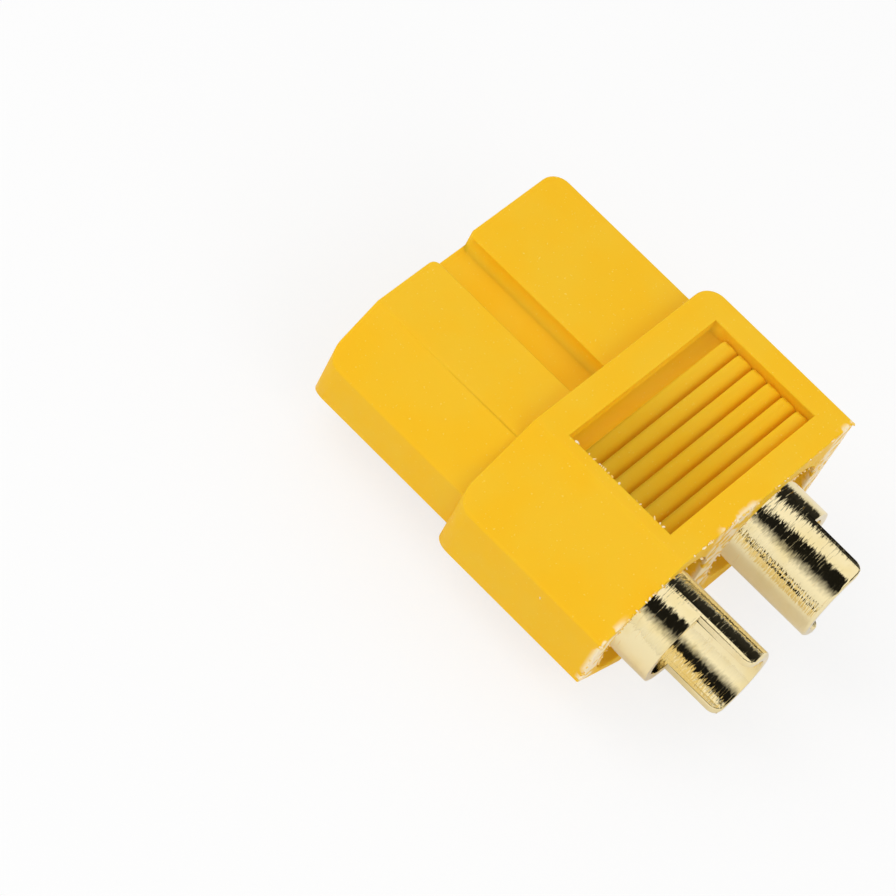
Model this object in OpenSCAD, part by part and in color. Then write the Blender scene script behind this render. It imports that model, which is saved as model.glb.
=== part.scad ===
// Two-pole battery lead connector, socket half, without its lead.
// One moulded housing carries two turned socket contacts. It lies on its broad face:
// X runs across the two poles (chamfered side at -X), Y along the lead (mating nose at +Y,
// solder cups at -Y), Z up. The origin is the middle of the bounding box's bottom face.

/* [Grip block] */
// Width of the grip block, across the two poles
grip_w = 15.2; // [15:0.1:17]
// Height of the grip block
grip_h = 7.95; // [7.8:0.05:9]
// Length of the grip block, along the lead
grip_l = 8.4; // [8:0.1:11]
// Run of the polarising chamfers across the width
grip_chamfer_w = 3.9; // [1:0.1:4.2]
// Height of the polarising chamfers
grip_chamfer_h = 2.5; // [1:0.1:2.8]
// Radius of the upright edges at the shoulder
grip_edge_r = 0.9; // [0.2:0.1:1.2]

/* [Ribbed panels] */
// Width of the recessed panel in each broad face
panel_w = 9.45; // [6:0.05:9.8]
// Length of the recessed panel, along the lead
panel_l = 5.7; // [4.5:0.1:6]
// Plain margin between the panel and the square side
panel_side_gap = 1.2; // [1:0.1:1.6]
// Plain margin between the panel and the shoulder
panel_front_gap = 1.4; // [1.2:0.1:1.5]
// Depth of the panel's floor
panel_depth = 0.8; // [0.4:0.05:0.8]
// Depth of the rib crests below the broad face
crest_depth = 0.2; // [0.05:0.05:0.3]
// Number of ribs across the panel
rib_count = 6; // [3:1:8]

/* [Mating nose] */
// Width of the nose
nose_w = 13.65; // [13.2:0.05:14.4]
// Height of the nose
nose_h = 6.5; // [6.3:0.05:7]
// Length of the nose in front of the shoulder
nose_l = 8.05; // [7:0.05:10]
// Run of the nose chamfers across the width
nose_chamfer_w = 2.4; // [1:0.1:2.8]
// Height of the nose chamfers
nose_chamfer_h = 2.15; // [1:0.05:2.8]
// Radius of the nose's upright front edges
nose_edge_r = 0.8; // [0.2:0.1:1.2]
// Width of the groove between the two poles
groove_w = 2.1; // [1.2:0.1:2.4]
// Depth of the groove between the two poles
groove_depth = 1.05; // [0.4:0.05:1.3]
// Offset of the groove towards the square side
groove_x = 0.15; // [-0.3:0.05:0.3]
// Radius of the groove's upright front edges
groove_edge_r = 0.35; // [0.1:0.05:0.5]

/* [Contacts] */
// Distance between the two poles
pitch = 7.2; // [7:0.05:7.4]
// Bore of the sockets and of the solder cups
socket_d = 3.5; // [3:0.1:3.6]
// Outer diameter of the sleeves and of the solder cups
sleeve_d = 4.3; // [4.1:0.05:4.4]
// Outer diameter of the retention collar
collar_d = 5; // [4.8:0.05:5.2]
// Length of the retention collar
collar_l = 1.6; // [1:0.1:1.8]
// Depth of the socket, from the sleeve's front end
socket_depth = 9; // [7:0.1:9.5]
// Setback of the sleeve's front end from the nose's front face
sleeve_setback = 0.9; // [0.6:0.05:1.5]
// Reach of the solder cups behind the housing
cup_reach = 4.6; // [3.6:0.1:6]
// Length of the half-cut trough at the end of each cup
trough_l = 2.85; // [1.5:0.05:3]
// Depth of the solder cup's bore inside the housing
cup_inset = 1.2; // [0.4:0.1:1.6]
// Turn of the square side's trough below level, in degrees
trough_turn = 10; // [0:1:20]

/* [Rear pockets] */
// Diameter of the pocket around each solder cup
pocket_d = 6.2; // [5.6:0.1:6.4]
// Depth of the pocket around each solder cup
pocket_depth = 1.8; // [1:0.1:1.8]

/* [Hidden] */

past = 1;             // how far a cutting tool or a buried root reaches past a face
eps = 0.01;           // overlap of stepped bores, so that no film is left between them
round_fn = 96;        // smoothness of bores, sleeves and edges
rib_end_gap = 0.08;   // clearance between the rounded rib ends and the panel's wall
mouth_lip = 0.15;     // how far the nose's lip overhangs the sleeve's front end
lead_in = 0.3;        // flare of each nose mouth
collar_setback = 0.3; // how far the collar is sunk below the pocket's floor
barb_count = 3;       // barbs on each retention collar
barb_depth = 0.2;     // how deep the grooves between the barbs are turned
sleeve_bevel = 0.2;   // bevel at the sleeve's front end
cup_bevel = 0.1;      // bevel at the solder cup's end
trough_corner_r = 0.5;   // rounding of the trough's free corners
drill_slope = tan(31);   // rise of a drilled bottom for each unit of radius

// Stations along the lead
nose_y = (nose_l + grip_l + cup_reach) / 2;
shoulder_y = nose_y - nose_l;
rear_y = shoulder_y - grip_l;
cup_end_y = rear_y - cup_reach;
sleeve_front_y = nose_y - sleeve_setback;
socket_end_y = sleeve_front_y - socket_depth;
cup_bottom_y = rear_y + cup_inset;
pocket_floor_y = rear_y + pocket_depth;
collar_rear_y = pocket_floor_y + collar_setback;
collar_front_y = collar_rear_y + collar_l;
mid_z = grip_h / 2;

// Panels and ribs
panel_right_x = grip_w / 2 - panel_side_gap;
panel_front_y = shoulder_y - panel_front_gap;
rib_pitch = panel_l / (rib_count + 0.8);
rib_rise = panel_depth - crest_depth;
rib_r = (pow(rib_pitch, 2) + pow(rib_rise, 2)) / (2 * rib_rise);

// Section of a block with its -X side chamfered above and below, centred on its mid-height
module chamfered_section(w, h, run, rise)
    polygon([
        [-w / 2, rise - h / 2], [-w / 2, h / 2 - rise], [-w / 2 + run, h / 2],
        [w / 2, h / 2], [w / 2, -h / 2], [-w / 2 + run, -h / 2]
    ]);

// Plan of a block with its two front corners rounded
module rounded_front_plan(w, y_front, y_rear, r) {
    translate([-w / 2, y_rear]) square([w, y_front - r - y_rear]);
    translate([r - w / 2, y_rear]) square([w - 2 * r, y_front - y_rear]);
    for (side = [-1, 1])
        translate([side * (w / 2 - r), y_front - r]) circle(r = r, $fn = round_fn);
}

// Chamfered block between two stations, with its upright front edges rounded
module chamfered_block(w, h, run, rise, r, y_front, y_rear)
    intersection() {
        translate([0, y_front + past, mid_z]) rotate([90, 0, 0])
            linear_extrude(height = y_front - y_rear + 2 * past)
                chamfered_section(w, h, run, rise);
        translate([0, 0, -past])
            linear_extrude(height = grip_h + 2 * past)
                rounded_front_plan(w, y_front, y_rear, r);
    }

// Plan of the groove between the poles, flared where its front edges are rounded
module groove_plan() {
    flare_x = groove_w / 2 + groove_edge_r;
    translate([-groove_w / 2, shoulder_y]) square([groove_w, nose_l + past]);
    difference() {
        translate([-flare_x, nose_y - groove_edge_r])
            square([2 * flare_x, groove_edge_r + past]);
        for (side = [-1, 1])
            translate([side * flare_x, nose_y - groove_edge_r])
                circle(r = groove_edge_r, $fn = round_fn);
    }
}

// Outline of a rib from the side: upright in front, falling away in an arc behind
module rib_side()
    intersection() {
        translate([0, -past]) square([rib_pitch, rib_rise + 2 * past]);
        translate([0, rib_rise - rib_r]) circle(r = rib_r, $fn = round_fn);
    }

// Outline of a rib from the front: level, rounded off where it nears the square side
module rib_front() {
    end_x = panel_right_x - rib_end_gap - rib_rise;
    start_x = panel_right_x - panel_w - past;
    translate([start_x, -past]) square([end_x - start_x, rib_rise + past]);
    translate([start_x, -past]) square([end_x - start_x + rib_rise, past]);
    translate([end_x, 0]) circle(r = rib_rise, $fn = round_fn);
}

// One rib with its upright front at Y = 0 and the panel's floor at Z = 0
module rib()
    intersection() {
        translate([panel_right_x, 0, 0]) rotate([90, 0, -90])
            linear_extrude(height = panel_w + 2 * past) rib_side();
        translate([0, past, 0]) rotate([90, 0, 0])
            linear_extrude(height = rib_pitch + 2 * past) rib_front();
    }

// What a ribbed panel takes out of the upper broad face
module panel_recess()
    difference() {
        translate([panel_right_x - panel_w, panel_front_y - panel_l, grip_h - panel_depth])
            cube([panel_w, panel_l, panel_depth + past]);
        for (i = [1 : rib_count])
            translate([0, panel_front_y - i * rib_pitch, grip_h - panel_depth]) rib();
    }

// What the groove takes out of the upper side of the nose
module nose_groove()
    translate([groove_x, 0, mid_z + nose_h / 2 - groove_depth])
        linear_extrude(height = groove_depth + past) groove_plan();

// A shape and its mirror image on the lower side of the connector
module both_broad_sides() {
    children();
    translate([0, 0, grip_h]) mirror([0, 0, 1]) children();
}

// Puts a shape drawn around the Z axis on a pole, with its Z along the lead
module on_pole(side)
    translate([side * pitch / 2, 0, mid_z]) rotate([-90, 0, 0]) children();

// Round tool along a pole's axis, between two stations
module pole_bore(d, y_low, y_high)
    translate([0, 0, y_low]) cylinder(d = d, h = y_high - y_low, $fn = round_fn);

// What one contact, its mouth and its rear pocket take out of the housing
module contact_seat() {
    mouth_d = sleeve_d - 2 * mouth_lip;
    translate([0, 0, nose_y - lead_in])
        cylinder(d1 = mouth_d, d2 = mouth_d + 2 * (lead_in + eps), h = lead_in + eps,
            $fn = round_fn);
    pole_bore(mouth_d, sleeve_front_y - eps, nose_y + past);
    pole_bore(sleeve_d, collar_front_y - eps, sleeve_front_y);
    pole_bore(collar_d, pocket_floor_y - eps, collar_front_y);
    pole_bore(pocket_d, rear_y - past, pocket_floor_y);
}

module housing()
    color([0.95, 0.74, 0.16])
        difference() {
            union() {
                chamfered_block(grip_w, grip_h, grip_chamfer_w, grip_chamfer_h, grip_edge_r,
                    shoulder_y, rear_y);
                chamfered_block(nose_w, nose_h, nose_chamfer_w, nose_chamfer_h, nose_edge_r,
                    nose_y, shoulder_y - past);
            }
            both_broad_sides() {
                panel_recess();
                nose_groove();
            }
            for (side = [-1, 1]) on_pole(side) contact_seat();
        }

// Grooves that part the retention collar into barbs, each steep behind and sloped in front
module barb_grooves() {
    barb_l = collar_l / barb_count;
    for (i = [1 : barb_count - 1])
        translate([collar_d / 2, collar_rear_y + i * barb_l])
            polygon([[eps, -barb_l / 2], [-barb_depth, 0], [eps, 0]]);
}

// Half section of a contact: radius against station along the lead
module contact_profile() {
    bore_r = socket_d / 2;
    sleeve_r = sleeve_d / 2;
    tip = bore_r * drill_slope;
    difference() {
        union() {
            polygon([
                [0, cup_end_y], [sleeve_r - cup_bevel, cup_end_y],
                [sleeve_r, cup_end_y + cup_bevel], [sleeve_r, sleeve_front_y - sleeve_bevel],
                [sleeve_r - sleeve_bevel, sleeve_front_y], [0, sleeve_front_y]
            ]);
            translate([0, collar_rear_y]) square([collar_d / 2, collar_l]);
        }
        barb_grooves();
        polygon([
            [0, sleeve_front_y + past], [bore_r + past + sleeve_bevel / 2, sleeve_front_y + past],
            [bore_r, sleeve_front_y - sleeve_bevel / 2], [bore_r, socket_end_y],
            [0, socket_end_y - tip]
        ]);
        polygon([
            [0, cup_end_y - past], [bore_r, cup_end_y - past],
            [bore_r, cup_bottom_y], [0, cup_bottom_y + tip]
        ]);
    }
}

// Tool that opens a cup's end into a trough facing +X, with its free corners rounded
module trough_cut()
    translate([0, sleeve_d, 0]) rotate([90, 0, 0])
        linear_extrude(height = 2 * sleeve_d) {
            translate([0, cup_end_y - past]) square([sleeve_d, trough_l + past]);
            difference() {
                translate([-trough_corner_r, cup_end_y - past])
                    square([trough_corner_r + eps, trough_corner_r + past]);
                translate([-trough_corner_r, cup_end_y + trough_corner_r])
                    circle(r = trough_corner_r, $fn = round_fn);
            }
        }

// One contact on the pole at the given side, its trough turned about the pole's axis
module contact(side, turn)
    color([0.83, 0.66, 0.31])
        on_pole(side) difference() {
            rotate_extrude($fn = round_fn) contact_profile();
            rotate([0, 0, turn]) trough_cut();
        }

module contact_chamfered_side() contact(-1, 180);
module contact_square_side() contact(1, trough_turn);

housing();
contact_chamfered_side();
contact_square_side();
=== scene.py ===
"""Looks of the two-pole battery lead connector: moulded yellow nylon around two gold contacts."""

import bmesh
import bpy
import math
from mathutils import Matrix, Vector


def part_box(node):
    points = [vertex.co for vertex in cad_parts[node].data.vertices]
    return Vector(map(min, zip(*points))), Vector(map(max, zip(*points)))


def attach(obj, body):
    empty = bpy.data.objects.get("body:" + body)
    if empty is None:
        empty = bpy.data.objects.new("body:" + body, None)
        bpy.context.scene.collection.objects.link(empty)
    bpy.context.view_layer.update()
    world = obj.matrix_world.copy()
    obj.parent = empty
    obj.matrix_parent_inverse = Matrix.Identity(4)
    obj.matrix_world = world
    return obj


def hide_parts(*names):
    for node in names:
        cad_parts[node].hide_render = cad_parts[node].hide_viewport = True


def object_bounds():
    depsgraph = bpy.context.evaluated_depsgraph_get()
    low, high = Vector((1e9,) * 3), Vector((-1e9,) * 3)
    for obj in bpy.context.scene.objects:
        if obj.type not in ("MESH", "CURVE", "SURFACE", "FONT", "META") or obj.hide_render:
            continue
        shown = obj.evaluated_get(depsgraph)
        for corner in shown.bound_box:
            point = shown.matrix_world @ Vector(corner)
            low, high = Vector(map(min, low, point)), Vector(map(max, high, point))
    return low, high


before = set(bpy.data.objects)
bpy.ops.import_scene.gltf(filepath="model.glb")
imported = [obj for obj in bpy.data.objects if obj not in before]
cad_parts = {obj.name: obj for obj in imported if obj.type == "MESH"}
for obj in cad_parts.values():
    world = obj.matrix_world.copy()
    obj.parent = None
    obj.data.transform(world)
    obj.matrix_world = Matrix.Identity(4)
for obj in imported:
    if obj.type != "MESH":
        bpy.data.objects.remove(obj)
mm = 0.001

# Camera: looks down on the connector from its chamfered side and the rear, rolled so that the
# mating nose points up and to the left.
cad_low, cad_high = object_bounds()
housing_low, housing_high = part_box("housing")
mid_z = (housing_low.z + housing_high.z) / 2
aim = Vector((-4.894 * mm, 4.652 * mm, mid_z))
azimuth, elevation, roll = math.radians(-71.6), math.radians(53.2), math.radians(29.79)
distance = 186.05 * mm
back = Vector((
    math.sin(azimuth) * math.cos(elevation),
    -math.cos(azimuth) * math.cos(elevation),
    math.sin(elevation),
))
camera_data = bpy.data.cameras.new("camera")
camera_data.sensor_width = 36
camera_data.lens = 183.96
camera_data.clip_start, camera_data.clip_end = 0.01, 10
camera = bpy.data.objects.new("camera", camera_data)
bpy.context.collection.objects.link(camera)
camera.matrix_world = (
    Matrix.Translation(aim + back * distance)
    @ (-back).to_track_quat("-Z", "Y").to_matrix().to_4x4()
    @ Matrix.Rotation(roll, 4, "Z")
)
bpy.context.scene.camera = camera
bpy.context.scene.view_settings.view_transform = "Standard"

# Surroundings: a pale floor under a soft, almost even light.
def new_material(name):
    """An empty material with its nodes and links."""
    material = bpy.data.materials.new(name)
    material.use_nodes = True
    material.node_tree.nodes.clear()
    return material, material.node_tree.nodes, material.node_tree.links


def add_node(nodes, kind, **settings):
    """A shader node of a kind, with its settings."""
    node = nodes.new("ShaderNode" + kind)
    for setting, value in settings.items():
        setattr(node, setting, value)
    return node


floor_half = 1.5
floor_grey, floor_glow_share = 0.93, 0.75
room_level = 0.73
floor_mesh = bpy.data.meshes.new("floor")
floor_mesh.from_pydata(
    [(x * floor_half, y * floor_half, cad_low.z) for x, y in ((-1, -1), (1, -1), (1, 1), (-1, 1))],
    [], [(0, 1, 2, 3)],
)
floor = bpy.data.objects.new("floor", floor_mesh)
bpy.context.collection.objects.link(floor)
floor_material, nodes, links = new_material("floor")
floor_paint = add_node(nodes, "BsdfDiffuse")
floor_paint.inputs["Color"].default_value = (floor_grey, floor_grey, floor_grey, 1)
floor_glow = add_node(nodes, "Emission")
light_path = add_node(nodes, "LightPath")
floor_share = add_node(nodes, "Math", operation="MULTIPLY")
floor_share.inputs[1].default_value = floor_glow_share
floor_mix = add_node(nodes, "MixShader")
floor_output = add_node(nodes, "OutputMaterial")
links.new(light_path.outputs["Is Camera Ray"], floor_share.inputs[0])
links.new(floor_share.outputs[0], floor_mix.inputs[0])
links.new(floor_paint.outputs[0], floor_mix.inputs[1])
links.new(floor_glow.outputs[0], floor_mix.inputs[2])
links.new(floor_mix.outputs[0], floor_output.inputs[0])
floor_mesh.materials.append(floor_material)

world = bpy.data.worlds.new("studio")
bpy.context.scene.world = world
world.use_nodes = True
nodes, links = world.node_tree.nodes, world.node_tree.links
nodes.clear()
room_light = add_node(nodes, "Background")
room_light.inputs["Color"].default_value = (1, 1, 1, 1)
room_light.inputs["Strength"].default_value = room_level
white_room = add_node(nodes, "Background")
white_room.inputs["Strength"].default_value = 1
light_path = add_node(nodes, "LightPath")
# Two dark strips run along the lead overhead, as gaps between lit screens, and show only in
# reflections. Each stop is an angle from +X towards the top, in degrees, and a brightness.
strip_stops = [(-180, 1), (-1, 0.7), (8, 0.03), (42, 0.01), (49, 1), (83, 1), (88, 0.01),
               (122, 0.01), (143, 0.8), (150, 1), (180, 0.85)]
direction = add_node(nodes, "TexCoord")
direction_parts = add_node(nodes, "SeparateXYZ")
strip_angle = add_node(nodes, "Math", operation="ARCTAN2")
strip_turn = add_node(nodes, "MapRange")
strip_turn.inputs["From Min"].default_value = -math.pi
strip_turn.inputs["From Max"].default_value = math.pi
strips = add_node(nodes, "ValToRGB")
for angle, level in strip_stops[1:-1]:
    strips.color_ramp.elements.new((angle + 180) / 360)
for stop, (angle, level) in zip(strips.color_ramp.elements, strip_stops):
    stop.color = (level, level, level, 1)
no_strips = add_node(nodes, "Mix", data_type="RGBA")
no_strips.inputs[6].default_value = (1, 1, 1, 1)
links.new(direction.outputs["Generated"], direction_parts.inputs[0])
links.new(direction_parts.outputs["Z"], strip_angle.inputs[0])
links.new(direction_parts.outputs["X"], strip_angle.inputs[1])
links.new(strip_angle.outputs[0], strip_turn.inputs["Value"])
links.new(strip_turn.outputs[0], strips.inputs[0])
links.new(light_path.outputs["Is Glossy Ray"], no_strips.inputs[0])
links.new(strips.outputs[0], no_strips.inputs[7])
links.new(no_strips.outputs[2], white_room.inputs["Color"])
seen_a = add_node(nodes, "Math", operation="MAXIMUM")
seen_b = add_node(nodes, "Math", operation="MAXIMUM")
room_mix = add_node(nodes, "MixShader")
world_output = add_node(nodes, "OutputWorld")
links.new(light_path.outputs["Is Camera Ray"], seen_a.inputs[0])
links.new(light_path.outputs["Is Glossy Ray"], seen_a.inputs[1])
links.new(seen_a.outputs[0], seen_b.inputs[0])
links.new(light_path.outputs["Is Transmission Ray"], seen_b.inputs[1])
links.new(seen_b.outputs[0], room_mix.inputs[0])
links.new(room_light.outputs[0], room_mix.inputs[1])
links.new(white_room.outputs[0], room_mix.inputs[2])
links.new(room_mix.outputs[0], world_output.inputs[0])


def soft_lamp(name, place, size, power):
    """A square lamp that faces the connector from the given place, in millimetres."""
    lamp_data = bpy.data.lights.new(name, "AREA")
    lamp_data.size = size * mm
    lamp_data.energy = power
    lamp = bpy.data.objects.new(name, lamp_data)
    bpy.context.collection.objects.link(lamp)
    lamp.location = Vector(place) * mm
    lamp.rotation_mode = "QUATERNION"
    lamp.rotation_quaternion = (aim - lamp.location).to_track_quat("-Z", "Y")
    lamp.visible_glossy = False


soft_lamp("key lamp", (-60, 120, 160), 120, 0.09)
soft_lamp("fill lamp", (-60, -130, 130), 120, 0.07)

# Housing: the moulded nylon body that grips both contacts. Its grip block and mating nose are
# chamfered on one side so that it mates one way round, a ribbed panel is sunk in each broad
# face, and its outer edges keep the small radius of the mould.
grip_l, grip_chamfer, grip_edge_r = 8.4, (3.9, 2.5), 0.9
nose_w, nose_h, nose_chamfer, nose_edge_r = 13.65, 6.5, (2.4, 2.15), 0.8
panel_w, panel_l, panel_side_gap, panel_front_gap = 9.45, 5.7, 1.2, 1.4
panel_depth, crest_depth, rib_count = 0.8, 0.2, 6
groove_w, groove_depth, groove_x, groove_edge_r = 2.1, 1.05, 0.15, 0.35
pitch, sleeve_d, collar_d, pocket_d, pocket_depth = 7.2, 4.3, 5.0, 6.2, 1.8
mouth_d, mouth_flare, sleeve_setback, collar_l, collar_setback = 4.0, 0.3, 0.9, 1.6, 0.3
rib_gap, rib_overlap = 0.02, 0.02
mould_radius, sharp_edge, round_steps = 0.07, 28, 2
past = 1.0
mid_height = mid_z / mm
grip_w, grip_h = [(high - low) / mm for low, high in zip(housing_low, housing_high)][::2]
rear_y, nose_y = housing_low.y / mm, housing_high.y / mm
shoulder_y = rear_y + grip_l
sleeve_front_y = nose_y - sleeve_setback
collar_front_y = rear_y + pocket_depth + collar_setback + collar_l
panel_right_x, panel_front_y = grip_w / 2 - panel_side_gap, shoulder_y - panel_front_gap
rib_pitch, rib_rise = panel_l / (rib_count + 0.8), panel_depth - crest_depth


def new_object(name, mesh):
    """An object in the scene that holds a mesh."""
    piece = bpy.data.objects.new(name, mesh)
    bpy.context.collection.objects.link(piece)
    return piece


def arc(centre, radius, start, end, steps):
    """Points along an arc in a plane, its angles in degrees."""
    angles = [math.radians(start + (end - start) * i / steps) for i in range(steps + 1)]
    return [(centre[0] + radius * math.cos(a), centre[1] + radius * math.sin(a)) for a in angles]


def prism(name, outline, start, end, place):
    """A closed solid in millimetres: an outline drawn in (u, v), drawn out along w."""
    count = len(outline)
    corners = [place(u, v, w) for w in (start, end) for u, v in outline]
    walls = [(i, (i + 1) % count, (i + 1) % count + count, i + count) for i in range(count)]
    mesh = bpy.data.meshes.new(name)
    mesh.from_pydata(corners, [], [tuple(range(count)), tuple(range(count, 2 * count)), *walls])
    face_outwards(mesh)
    return new_object(name, mesh)


def turned(name, profile, pole_x, steps=128):
    """A solid of revolution about a pole's axis, from points of (radius, station)."""
    shape = bmesh.new()
    ends = [shape.verts.new((pole_x, profile[i][1], mid_height)) for i in (0, -1)]
    rings = []
    for step in range(steps):
        angle = 2 * math.pi * step / steps
        rings.append([
            shape.verts.new((pole_x + r * math.cos(angle), y, mid_height + r * math.sin(angle)))
            for r, y in profile
        ])
    for ring, after in zip(rings, rings[1:] + rings[:1]):
        for i in range(len(profile) - 1):
            shape.faces.new((ring[i], after[i], after[i + 1], ring[i + 1]))
        shape.faces.new((ends[0], after[0], ring[0]))
        shape.faces.new((ends[1], ring[-1], after[-1]))
    bmesh.ops.recalc_face_normals(shape, faces=shape.faces)
    mesh = bpy.data.meshes.new(name)
    shape.to_mesh(mesh)
    shape.free()
    return new_object(name, mesh)


def face_outwards(mesh):
    """Turns all faces of a closed mesh outwards."""
    shape = bmesh.new()
    shape.from_mesh(mesh)
    bmesh.ops.recalc_face_normals(shape, faces=shape.faces)
    shape.to_mesh(mesh)
    shape.free()


def settle(piece):
    """Turns what the piece's modifiers make into its own plain mesh."""
    depsgraph = bpy.context.evaluated_depsgraph_get()
    mesh = bpy.data.meshes.new_from_object(piece.evaluated_get(depsgraph))
    piece.modifiers.clear()
    piece.data = mesh


def combine(piece, operation, *tools):
    """Joins the tools to the piece, cuts them out of it, or keeps what they share with it."""
    for tool in tools:
        modifier = piece.modifiers.new(operation, "BOOLEAN")
        modifier.operation = operation
        modifier.object = tool
        modifier.solver = "EXACT"
    settle(piece)
    for tool in tools:
        bpy.data.objects.remove(tool)
    return piece


def round_edges(piece, radius):
    """Rounds the edges that stand out and turn by more than the angle of a sharp edge."""
    shape = bmesh.new()
    shape.from_mesh(piece.data)
    weight = shape.edges.layers.float.new("bevel_weight_edge")
    for edge in shape.edges:
        if edge.is_manifold and edge.is_convex:
            edge[weight] = float(edge.calc_face_angle() > math.radians(sharp_edge))
    shape.to_mesh(piece.data)
    shape.free()
    modifier = piece.modifiers.new("rounded edges", "BEVEL")
    modifier.width = radius
    modifier.segments = round_steps
    modifier.limit_method = "WEIGHT"
    modifier.use_clamp_overlap = False
    settle(piece)
    return piece


def along_lead(u, v, w):
    """An outline across the lead, drawn out along it."""
    return u, w, v


def upright(u, v, w):
    """An outline seen from above, drawn out upwards."""
    return u, v, w


def across(u, v, w):
    """An outline seen from the side, drawn out across the lead."""
    return w, u, v


def chamfered_block(name, w, h, chamfer, edge_r, y_front, y_rear):
    """A block chamfered on its left side, with its two front corners rounded."""
    run, rise = chamfer
    low, high = mid_height - h / 2, mid_height + h / 2
    section = [
        (-w / 2, low + rise), (-w / 2, high - rise), (run - w / 2, high),
        (w / 2, high), (w / 2, low), (run - w / 2, low),
    ]
    plan = [
        (-w / 2, y_rear - past), (w / 2, y_rear - past),
        *arc((w / 2 - edge_r, y_front - edge_r), edge_r, 0, 90, 10),
        *arc((edge_r - w / 2, y_front - edge_r), edge_r, 90, 180, 10),
    ]
    block = prism(name, section, y_rear, y_front + past, along_lead)
    return combine(block, "INTERSECT", prism("plan", plan, low - past, high + past, upright))


def rib_row():
    """The ribs of one panel: one rib, set out along the lead by a geometry node tree."""
    rib_l = rib_pitch - rib_gap
    rib_r = (rib_l ** 2 + rib_rise ** 2) / (2 * rib_rise)
    tail = 90 + math.degrees(math.asin(rib_l / rib_r))
    side = [(0, -past), *arc((0, rib_rise - rib_r), rib_r, 90, tail, 12), (-rib_l, -past)]
    end_x = panel_right_x - rib_rise
    front = [
        (panel_right_x + rib_overlap, -past),
        *arc((end_x + rib_overlap, 0), rib_rise, 0, 90, 12),
        (panel_right_x - panel_w - past, rib_rise), (panel_right_x - panel_w - past, -past),
    ]
    rib = prism("rib", side, panel_right_x - panel_w - past, panel_right_x + past, across)
    combine(rib, "INTERSECT", prism("front", front, -rib_pitch - past, past, along_lead))
    tree = bpy.data.node_groups.new("rib row", "GeometryNodeTree")
    for socket, kind in (("Geometry", "NodeSocketGeometry"), ("Ribs", "NodeSocketInt"),
                         ("Pitch", "NodeSocketFloat")):
        tree.interface.new_socket(socket, in_out="INPUT", socket_type=kind)
    tree.interface.new_socket("Geometry", in_out="OUTPUT", socket_type="NodeSocketGeometry")
    nodes, links = tree.nodes, tree.links
    given, made = nodes.new("NodeGroupInput"), nodes.new("NodeGroupOutput")
    step_back = nodes.new("ShaderNodeMath")
    step_back.operation = "MULTIPLY"
    step_back.inputs[1].default_value = -1
    step = nodes.new("ShaderNodeCombineXYZ")
    line = nodes.new("GeometryNodeMeshLine")
    instances = nodes.new("GeometryNodeInstanceOnPoints")
    real = nodes.new("GeometryNodeRealizeInstances")
    finish = nodes.new("GeometryNodeSetMaterial")
    finish.inputs["Material"].default_value = nylon
    links.new(given.outputs["Pitch"], step_back.inputs[0])
    links.new(step_back.outputs[0], step.inputs["Y"])
    links.new(given.outputs["Ribs"], line.inputs["Count"])
    links.new(step.outputs[0], line.inputs["Offset"])
    links.new(line.outputs[0], instances.inputs["Points"])
    links.new(given.outputs["Geometry"], instances.inputs["Instance"])
    links.new(instances.outputs[0], real.inputs[0])
    links.new(real.outputs[0], finish.inputs["Geometry"])
    links.new(finish.outputs[0], made.inputs[0])
    modifier = rib.modifiers.new("rib row", "NODES")
    modifier.node_group = tree
    sockets = {item.name: item.identifier for item in tree.interface.items_tree}
    modifier[sockets["Ribs"]] = rib_count
    modifier[sockets["Pitch"]] = rib_pitch
    settle(rib)
    return rib


def panel_tool():
    """What one ribbed panel takes out of the upper broad face."""
    left_x, rear = panel_right_x - panel_w, panel_front_y - panel_l
    outline = [(left_x, rear), (panel_right_x, rear), (panel_right_x, panel_front_y),
               (left_x, panel_front_y)]
    tool = prism("panel tool", outline, grip_h - panel_depth, grip_h + past, upright)
    ribs = rib_row()
    ribs.data.transform(Matrix.Translation((0, panel_front_y - rib_pitch, grip_h - panel_depth)))
    return combine(tool, "DIFFERENCE", ribs)


def groove_tool():
    """What the groove between the poles takes out of the upper side of the nose."""
    half, flare = groove_w / 2, groove_w / 2 + groove_edge_r
    corner_y = nose_y - groove_edge_r
    outline = [
        (groove_x - half, shoulder_y), (groove_x + half, shoulder_y),
        *arc((groove_x + flare, corner_y), groove_edge_r, 180, 90, 6),
        (groove_x + flare, nose_y + past), (groove_x - flare, nose_y + past),
        *arc((groove_x - flare, corner_y), groove_edge_r, 90, 0, 6),
    ]
    floor_z = mid_height + nose_h / 2 - groove_depth
    return prism("groove tool", outline, floor_z, grip_h + past, upright)


def below(tool):
    """The same tool, mirrored for the lower broad face."""
    mesh = tool.data.copy()
    mesh.transform(Matrix.Translation((0, 0, grip_h)) @ Matrix.Scale(-1, 4, (0, 0, 1)))
    face_outwards(mesh)
    return new_object(tool.name, mesh)


def contact_seat(pole_x):
    """The stepped bore that takes one contact, from the mouth to the rear pocket."""
    mouth_r, pocket_floor_y = mouth_d / 2, rear_y + pocket_depth
    return turned("contact seat", [
        (mouth_r + mouth_flare, nose_y + past), (mouth_r + mouth_flare, nose_y),
        (mouth_r, nose_y - mouth_flare), (mouth_r, sleeve_front_y),
        (sleeve_d / 2, sleeve_front_y), (sleeve_d / 2, collar_front_y),
        (collar_d / 2, collar_front_y), (collar_d / 2, pocket_floor_y),
        (pocket_d / 2, pocket_floor_y), (pocket_d / 2, rear_y - past),
    ], pole_x)


def hand_over(piece, node, material):
    """Scales a finished piece to metres and gives it the node's place."""
    piece.data.transform(Matrix.Scale(mm, 4))
    piece.data.shade_smooth()
    piece.data.materials.clear()
    piece.data.materials.append(material)
    weights = piece.modifiers.new("even faces", "WEIGHTED_NORMAL")
    weights.keep_sharp = False
    weights.weight = 100
    settle(piece)
    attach(piece, "root")
    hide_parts(node)


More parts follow.
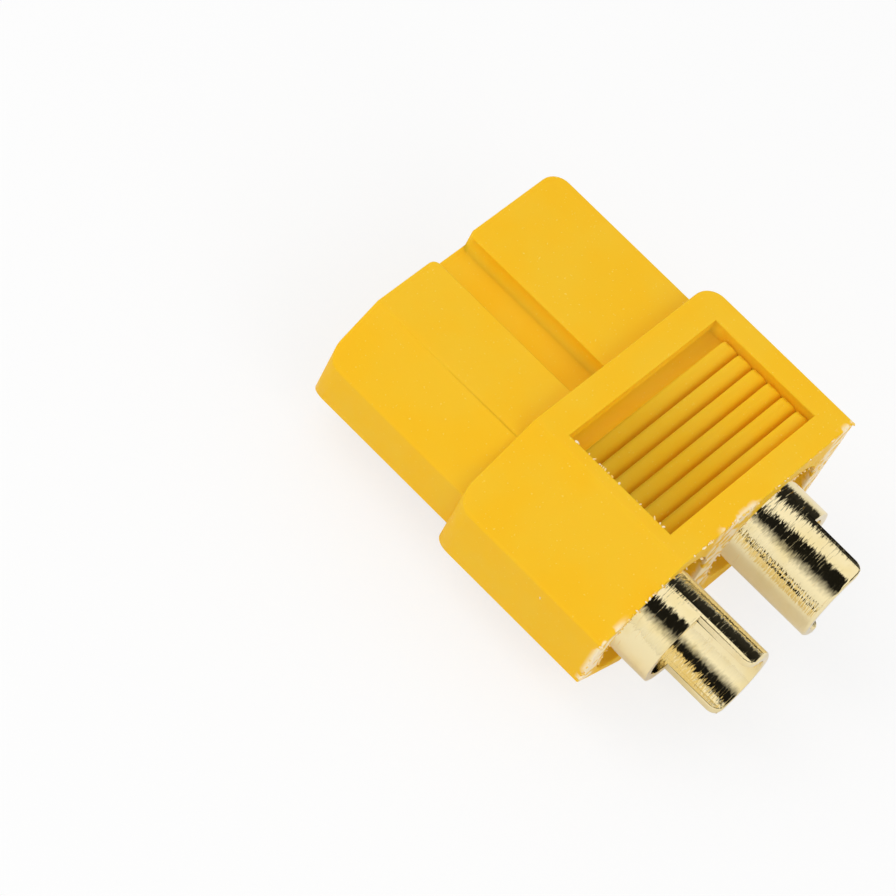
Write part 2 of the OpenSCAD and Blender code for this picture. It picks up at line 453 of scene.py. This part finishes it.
nylon, nodes, links = new_material("yellow_nylon")
plastic = add_node(nodes, "BsdfPrincipled")
plastic.inputs["Specular IOR Level"].default_value = 0.15
plastic.inputs["Subsurface Weight"].default_value = 0.3
plastic.inputs["Subsurface Radius"].default_value = (1.0, 0.85, 0.3)
plastic.inputs["Subsurface Scale"].default_value = 0.35 * mm
nylon_output = add_node(nodes, "OutputMaterial")
links.new(plastic.outputs[0], nylon_output.inputs[0])
place = add_node(nodes, "TexCoord")


def noise(grain, detail):
    """A noise over the piece, its grain in millimetres."""
    texture = add_node(nodes, "TexNoise")
    texture.inputs["Scale"].default_value = 1 / (grain * mm)
    texture.inputs["Detail"].default_value = detail
    links.new(place.outputs["Object"], texture.inputs["Vector"])
    return texture.outputs[0]


def spread(source, low, high, to_low, to_high):
    """Stretches the values between low and high over a new range."""
    ramp = add_node(nodes, "MapRange", interpolation_type="SMOOTHSTEP")
    for socket, value in (("From Min", low), ("From Max", high),
                          ("To Min", to_low), ("To Max", to_high)):
        ramp.inputs[socket].default_value = value
    links.new(source, ramp.inputs["Value"])
    return ramp.outputs[0]


def blend(factor, first, second):
    """Mixes two colours, each given as numbers or as a socket."""
    mix = add_node(nodes, "Mix", data_type="RGBA")
    links.new(factor, mix.inputs[0])
    for socket, colour in zip(mix.inputs[6:8], (first, second)):
        if isinstance(colour, tuple):
            socket.default_value = (*colour, 1)
        else:
            links.new(colour, socket)
    return mix.outputs[2]


def scaled(source, factor):
    """A value times a number."""
    product = add_node(nodes, "Math", operation="MULTIPLY")
    product.inputs[1].default_value = factor
    links.new(source, product.inputs[0])
    return product.outputs[0]


def times(first, second):
    """One value times another."""
    product = add_node(nodes, "Math", operation="MULTIPLY")
    links.new(first, product.inputs[0])
    links.new(second, product.inputs[1])
    return product.outputs[0]


clouds = spread(noise(3.0, 2), 0.35, 0.65, 0, 1)
colour = blend(clouds, (0.94, 0.530, 0.012), (0.92, 0.545, 0.020))
specks = spread(noise(0.11, 1), 0.70, 0.78, 0, 1)
colour = blend(specks, colour, (0.97, 0.66, 0.10))
station = add_node(nodes, "SeparateXYZ")
links.new(place.outputs["Object"], station.inputs[0])
# Painted highlight: the rear face's rim is whitened to pale cream within 0.3 mm of its edge,
# broken up by noise, and most where the walls beside and between the pockets are thin.
rear_rim_highlight = spread(station.outputs["Y"], (rear_y + 0.32) * mm, (rear_y + 0.02) * mm, 0, 1)
broken = spread(noise(0.5, 1), 0.42, 0.52, 0, 1)
around = add_node(nodes, "Math", operation="COSINE")
links.new(scaled(station.outputs["X"], 2 * math.pi / (grip_w / 2 * mm)), around.inputs[0])
thin_wall_highlight = spread(around.outputs[0], 0.35, 0.8, 0, 1)
colour = blend(times(times(rear_rim_highlight, broken), thin_wall_highlight), colour, (1.0, 0.80, 0.52))
links.new(colour, plastic.inputs["Base Color"])
links.new(spread(noise(0.5, 4), 0.3, 0.7, 0.40, 0.54), plastic.inputs["Roughness"])
grain = add_node(nodes, "Bump")
grain.inputs["Strength"].default_value = 0.22
grain.inputs["Distance"].default_value = 0.012 * mm
links.new(noise(0.09, 4), grain.inputs["Height"])
waves = add_node(nodes, "Bump")
waves.inputs["Strength"].default_value = 0.35
waves.inputs["Distance"].default_value = 0.03 * mm
links.new(noise(1.1, 2), waves.inputs["Height"])
links.new(grain.outputs[0], waves.inputs["Normal"])
links.new(waves.outputs[0], plastic.inputs["Normal"])

grip = chamfered_block("moulded_housing", grip_w, grip_h, grip_chamfer, grip_edge_r,
                       shoulder_y, rear_y)
nose = chamfered_block("nose", nose_w, nose_h, nose_chamfer, nose_edge_r, nose_y,
                       shoulder_y - past)
combine(grip, "UNION", nose)
panel, groove = panel_tool(), groove_tool()
combine(grip, "DIFFERENCE", panel, below(panel), groove, below(groove),
        contact_seat(-pitch / 2), contact_seat(pitch / 2))
round_edges(grip, mould_radius)
hand_over(grip, "housing", nylon)

# Moulding flash: thin slivers of the same nylon that squeezed out where the mould's halves
# and core pins met, left along one rim of the panel, the rear edges and the pocket rims.
flash_spacing, sliver_size, sliver_chance = 0.10, 0.055, 0.30
rear_face_y = rear_y - 0.01
panel_ends, torn_wall_x, torn_wall_drop = (0.2, 0.1), -4.4, 0.35
side_mark = [(-2.79, 3.86), (-2.7, 5.35)]


def flash_tree():
    """Scatters rough slivers of random size and turn along edges."""
    tree = bpy.data.node_groups.new("moulding flash", "GeometryNodeTree")
    for socket, kind in (("Geometry", "NodeSocketGeometry"), ("Spacing", "NodeSocketFloat"),
                         ("Sliver size", "NodeSocketFloat")):
        tree.interface.new_socket(socket, in_out="INPUT", socket_type=kind)
    tree.interface.new_socket("Geometry", in_out="OUTPUT", socket_type="NodeSocketGeometry")
    nodes, links = tree.nodes, tree.links
    given, made = nodes.new("NodeGroupInput"), nodes.new("NodeGroupOutput")
    lines = nodes.new("GeometryNodeMeshToCurve")
    stations = nodes.new("GeometryNodeResampleCurve")
    stations.mode = "LENGTH"
    sliver = nodes.new("GeometryNodeMeshIcoSphere")
    sliver.inputs["Subdivisions"].default_value = 2
    chosen, stretch, turn = [nodes.new("FunctionNodeRandomValue") for _ in range(3)]
    chosen.data_type = "BOOLEAN"
    stretch.data_type = "FLOAT_VECTOR"
    turn.data_type = "FLOAT_VECTOR"
    chosen.inputs["Probability"].default_value = sliver_chance
    for seed, chance in enumerate((chosen, stretch, turn), 3):
        chance.inputs["Seed"].default_value = seed
    stretch.inputs[0].default_value = (0.4, 0.4, 0.3)
    stretch.inputs[1].default_value = (1.9, 1.1, 1)
    turn.inputs[1].default_value = (0.5, 0.5, 6.28)
    scatter = nodes.new("GeometryNodeInstanceOnPoints")
    real = nodes.new("GeometryNodeRealizeInstances")
    finish = nodes.new("GeometryNodeSetMaterial")
    finish.inputs["Material"].default_value = pale_nylon
    links.new(given.outputs["Geometry"], lines.inputs[0])
    links.new(lines.outputs[0], stations.inputs[0])
    links.new(given.outputs["Spacing"], stations.inputs["Length"])
    links.new(given.outputs["Sliver size"], sliver.inputs["Radius"])
    links.new(stations.outputs[0], scatter.inputs["Points"])
    links.new(sliver.outputs[0], scatter.inputs["Instance"])
    links.new(chosen.outputs[3], scatter.inputs["Selection"])
    links.new(stretch.outputs[0], scatter.inputs["Scale"])
    links.new(turn.outputs[0], scatter.inputs["Rotation"])
    links.new(scatter.outputs[0], real.inputs[0])
    links.new(real.outputs[0], finish.inputs["Geometry"])
    links.new(finish.outputs[0], made.inputs[0])
    return tree


pale_nylon, nodes, links = new_material("pale_nylon")
thin_plastic = add_node(nodes, "BsdfPrincipled")
thin_plastic.inputs["Roughness"].default_value = 0.35
place = add_node(nodes, "TexCoord")
links.new(blend(spread(noise(0.3, 2), 0.4, 0.6, 0, 1), (0.95, 0.62, 0.12), (0.97, 0.84, 0.58)),
          thin_plastic.inputs["Base Color"])
pale_output = add_node(nodes, "OutputMaterial")
links.new(thin_plastic.outputs[0], pale_output.inputs[0])

left_x = panel_right_x - panel_w
runs = [
    [(left_x, panel_front_y - panel_l + panel_ends[0], grip_h),
     (left_x, panel_front_y - panel_ends[1], grip_h)],
    [(grip_chamfer[0] - grip_w / 2, rear_face_y, grip_h), (grip_w / 2, rear_face_y, grip_h)],
    [(-grip_w / 2, rear_face_y, grip_chamfer[1]), (-grip_w / 2, rear_face_y, mid_height)],
    [(-grip_w / 2, rear_face_y, grip_h - grip_chamfer[1]),
     (torn_wall_x, rear_face_y, grip_h - torn_wall_drop)],
    [(-grip_w / 2, y, z) for y, z in side_mark],
]
for side in (-1, 1):
    rim = arc((side * pitch / 2, mid_height), pocket_d / 2, 20, 200, 40)
    runs.append([(x, rear_face_y, z) for x, z in rim])
points = [point for run in runs for point in run]
steps = [len(run) for run in runs]
starts = [sum(steps[:i]) for i in range(len(runs))]
edges = [(first + i, first + i + 1) for first, n in zip(starts, steps) for i in range(n - 1)]
flash_lines = bpy.data.meshes.new("moulding_flash")
flash_lines.from_pydata(points, edges, [])
flash = new_object("moulding_flash", flash_lines)
flash_modifier = flash.modifiers.new("moulding flash", "NODES")
flash_modifier.node_group = flash_tree()
sockets = {item.name: item.identifier for item in flash_modifier.node_group.interface.items_tree}
flash_modifier[sockets["Spacing"]] = flash_spacing
flash_modifier[sockets["Sliver size"]] = sliver_size
settle(flash)
flash.data.transform(Matrix.Scale(mm, 4))
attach(flash, "root")

# Contacts: two brass socket contacts turned from bar and plated with gold, each with a
# barbed collar that holds it in the housing and a solder cup half cut away into a trough.
socket_d, socket_depth, trough_l, trough_corner_r = 3.5, 9.0, 2.85, 0.5
sleeve_bevel, cup_bevel, lip_radius, cup_inset = 0.2, 0.1, 0.04, 1.2
barb_count, barb_depth = 3, 0.2
drill_slope, point_r, contact_steps = 31, 0.02, 192
cup_end_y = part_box("contact_square_side")[0].y / mm
cup_bottom_y = rear_y + cup_inset
trough_turns = {"contact_chamfered_side": 180, "contact_square_side": 10}


def contact_profile():
    """The contact's outline from its axis outwards, as points of (radius, station)."""
    bore_r, sleeve_r = socket_d / 2, sleeve_d / 2
    tip = bore_r * math.tan(math.radians(drill_slope))
    collar_rear_y = collar_front_y - collar_l
    barb_l = collar_l / barb_count
    barbs = [(collar_d / 2, collar_rear_y)]
    for i in range(1, barb_count):
        root_y = collar_rear_y + i * barb_l
        barbs += [(collar_d / 2, root_y - barb_l / 2), (collar_d / 2 - barb_depth, root_y),
                  (collar_d / 2, root_y)]
    return [
        (point_r, cup_bottom_y + tip), (bore_r, cup_bottom_y), (bore_r, cup_end_y),
        (sleeve_r - cup_bevel, cup_end_y), (sleeve_r, cup_end_y + cup_bevel),
        (sleeve_r, collar_rear_y), *barbs, (collar_d / 2, collar_front_y),
        (sleeve_r, collar_front_y), (sleeve_r, sleeve_front_y - sleeve_bevel),
        (sleeve_r - sleeve_bevel, sleeve_front_y), (bore_r + sleeve_bevel / 2, sleeve_front_y),
        (bore_r, sleeve_front_y - sleeve_bevel / 2), (bore_r, sleeve_front_y - socket_depth),
        (point_r, sleeve_front_y - socket_depth - tip),
    ]


def trough_tool(pole_x, turn):
    """What is cut off the cup to leave a trough, turned about the pole's axis in degrees."""
    outline = [
        (sleeve_d, cup_end_y - past), (sleeve_d, cup_end_y + trough_l),
        (0, cup_end_y + trough_l),
        *arc((-trough_corner_r, cup_end_y + trough_corner_r), trough_corner_r, 0, -90, 8),
        (-trough_corner_r, cup_end_y - past),
    ]
    tool = prism("trough tool", outline, -sleeve_d, sleeve_d, upright)
    tool.data.transform(
        Matrix.Translation((pole_x, 0, mid_height)) @ Matrix.Rotation(math.radians(turn), 4, "Y")
    )
    return tool


gold, nodes, links = new_material("gold_plated_brass")
metal = add_node(nodes, "BsdfPrincipled")
metal.inputs["Metallic"].default_value = 1
gold_output = add_node(nodes, "OutputMaterial")
links.new(metal.outputs[0], gold_output.inputs[0])
place = add_node(nodes, "TexCoord")


def turning_marks(length, width, detail):
    """A noise drawn out into short marks that run around the contact, in millimetres."""
    stretch = add_node(nodes, "Mapping")
    stretch.inputs["Scale"].default_value = (1 / length, 1 / width, 1 / length)
    texture = add_node(nodes, "TexNoise")
    texture.inputs["Scale"].default_value = 1 / mm
    texture.inputs["Detail"].default_value = detail
    links.new(place.outputs["Object"], stretch.inputs["Vector"])
    links.new(stretch.outputs[0], texture.inputs["Vector"])
    return texture.outputs[0]


fine_marks, deep_marks = turning_marks(0.45, 0.10, 1), turning_marks(1.4, 0.07, 2)
stains = spread(noise(1.2, 2), 0.4, 0.7, 0, 1)
links.new(blend(stains, (0.94, 0.80, 0.47), (0.91, 0.75, 0.39)), metal.inputs["Base Color"])
links.new(spread(fine_marks, 0.35, 0.75, 0.03, 0.09), metal.inputs["Roughness"])
scored = add_node(nodes, "Bump")
scored.inputs["Strength"].default_value = 0.8
scored.inputs["Distance"].default_value = 0.006 * mm
links.new(spread(deep_marks, 0.58, 0.72, 1, 0), scored.inputs["Height"])
turned_finish = add_node(nodes, "Bump")
turned_finish.inputs["Strength"].default_value = 0.7
turned_finish.inputs["Distance"].default_value = 0.03 * mm
links.new(fine_marks, turned_finish.inputs["Height"])
links.new(scored.outputs[0], turned_finish.inputs["Normal"])
links.new(turned_finish.outputs[0], metal.inputs["Normal"])

for node, turn in trough_turns.items():
    low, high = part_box(node)
    pole_x = (low.x + high.x) / 2 / mm
    contact = turned("turned_" + node, contact_profile(), pole_x, contact_steps)
    combine(contact, "DIFFERENCE", trough_tool(pole_x, turn))
    round_edges(contact, lip_radius)
    hand_over(contact, node, gold)
